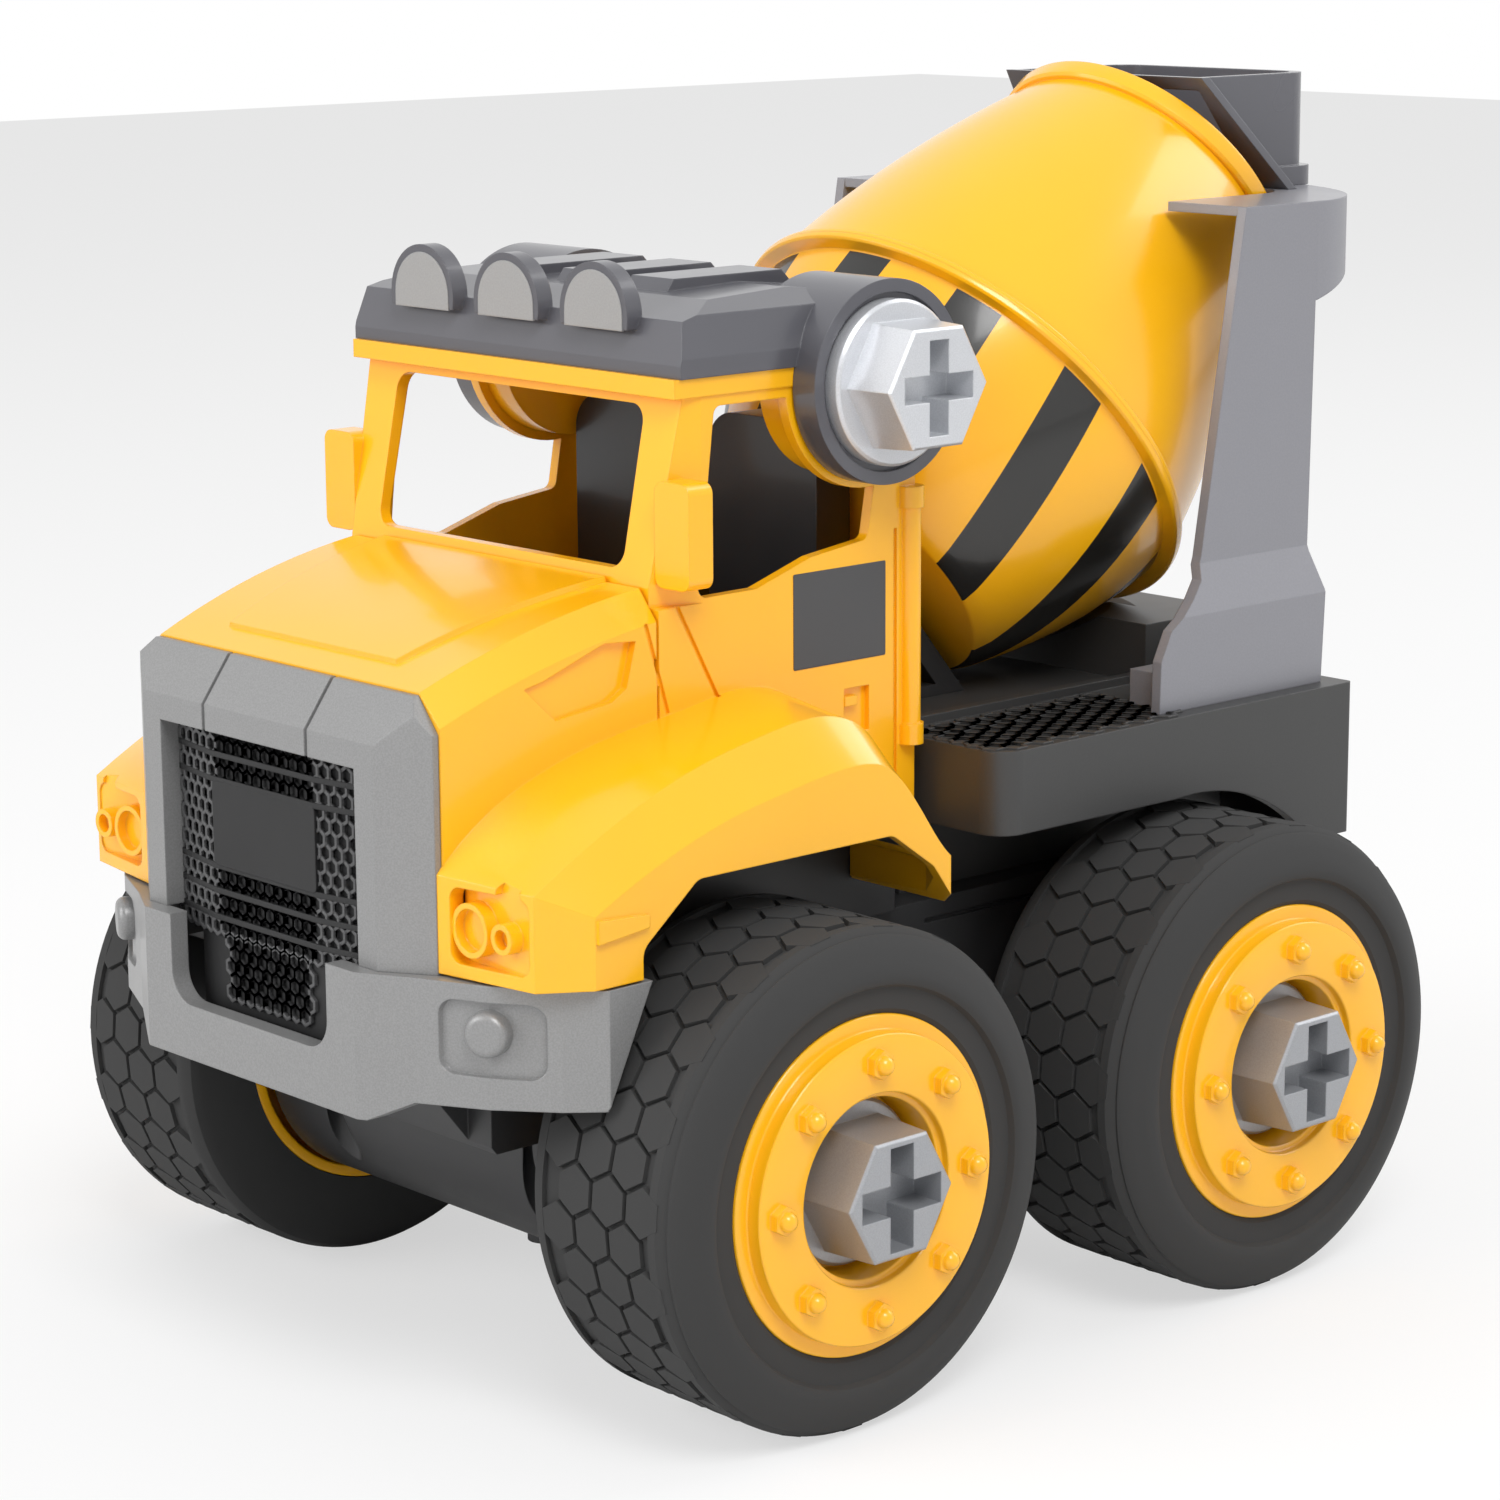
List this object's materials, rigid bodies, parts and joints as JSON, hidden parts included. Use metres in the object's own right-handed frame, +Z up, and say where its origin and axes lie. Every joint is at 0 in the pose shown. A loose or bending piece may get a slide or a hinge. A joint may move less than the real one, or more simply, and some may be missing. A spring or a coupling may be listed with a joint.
{
  "type": "toy cement mixer truck",
  "caption": "Take-apart toy mixer truck: chunky wheels roll on big hex bolts, and a tilted striped drum turns between a pedestal and a tower with a hopper.",
  "frame": {"origin": "on the ground under the middle of the truck's length and width", "axes": "+Z up, the truck faces -Y, +X is its left side"},
  "size_m": [0.1702, 0.2238, 0.2027],
  "materials": {
    "black_plastic": "black moulded plastic with a soft sheen",
    "yellow_plastic": "glossy yellow moulded plastic",
    "striped_plastic": "glossy yellow plastic with slanted black stripes",
    "dark_grey_plastic": "glossy dark grey plastic",
    "silver_grey_plastic": "fine grained silver grey plastic",
    "mid_grey_plastic": "satin mid grey plastic",
    "silver_plastic": "silver coloured plastic",
    "tyre_rubber": "black soft rubber with a satin wall",
    "steel": "bright zinc plated screws"
  },
  "bodies": {
    "chassis": {"chassis_frame": "black_plastic", "cab_shell": "yellow_plastic", "cab_interior": "black_plastic", "cab_roof": "dark_grey_plastic", "front_bumper": "silver_grey_plastic", "grille_frame": "silver_grey_plastic", "grille_insert": "black_plastic", "rear_deck": "black_plastic", "drum_pedestal": "black_plastic", "drum_tower": "mid_grey_plastic", "hopper": "dark_grey_plastic", "cab_screws": "steel", "deck_screws": "steel", "tower_screws": "steel", "roof_bolt_left": "silver_plastic", "roof_bolt_right": "silver_plastic", "wheel_bolt_front_left": "silver_plastic", "wheel_bolt_front_right": "silver_plastic", "wheel_bolt_rear_left": "silver_plastic", "wheel_bolt_rear_right": "silver_plastic"},
    "drum": {"drum_front": "striped_plastic", "drum_rear": "yellow_plastic", "drum_pivot_pin": "black_plastic"},
    "wheel_front_left": {"tyre_front_left": "tyre_rubber", "rim_front_left": "yellow_plastic"},
    "wheel_front_right": {"tyre_front_right": "tyre_rubber", "rim_front_right": "yellow_plastic"},
    "wheel_rear_left": {"tyre_rear_left": "tyre_rubber", "rim_rear_left": "yellow_plastic"},
    "wheel_rear_right": {"tyre_rear_right": "tyre_rubber", "rim_rear_right": "yellow_plastic"}
  },
  "joints": [
    {"name": "spin_front_left", "type": "hinge", "parent": "chassis", "child": "wheel_front_left", "pos_m": [0.05945, -0.05315, 0.04], "axis": [1, 0, 0], "continuous": true},
    {"name": "spin_front_right", "type": "hinge", "parent": "chassis", "child": "wheel_front_right", "pos_m": [-0.05945, -0.05315, 0.04], "axis": [1, 0, 0], "continuous": true},
    {"name": "spin_rear_left", "type": "hinge", "parent": "chassis", "child": "wheel_rear_left", "pos_m": [0.05945, 0.04345, 0.04], "axis": [1, 0, 0], "continuous": true},
    {"name": "spin_rear_right", "type": "hinge", "parent": "chassis", "child": "wheel_rear_right", "pos_m": [-0.05945, 0.04345, 0.04], "axis": [1, 0, 0], "continuous": true},
    {"name": "drum_spin", "type": "hinge", "parent": "chassis", "child": "drum", "pos_m": [0, 0.04422, 0.14113], "axis": [0, 0.7667, 0.642], "continuous": true}
  ]
}
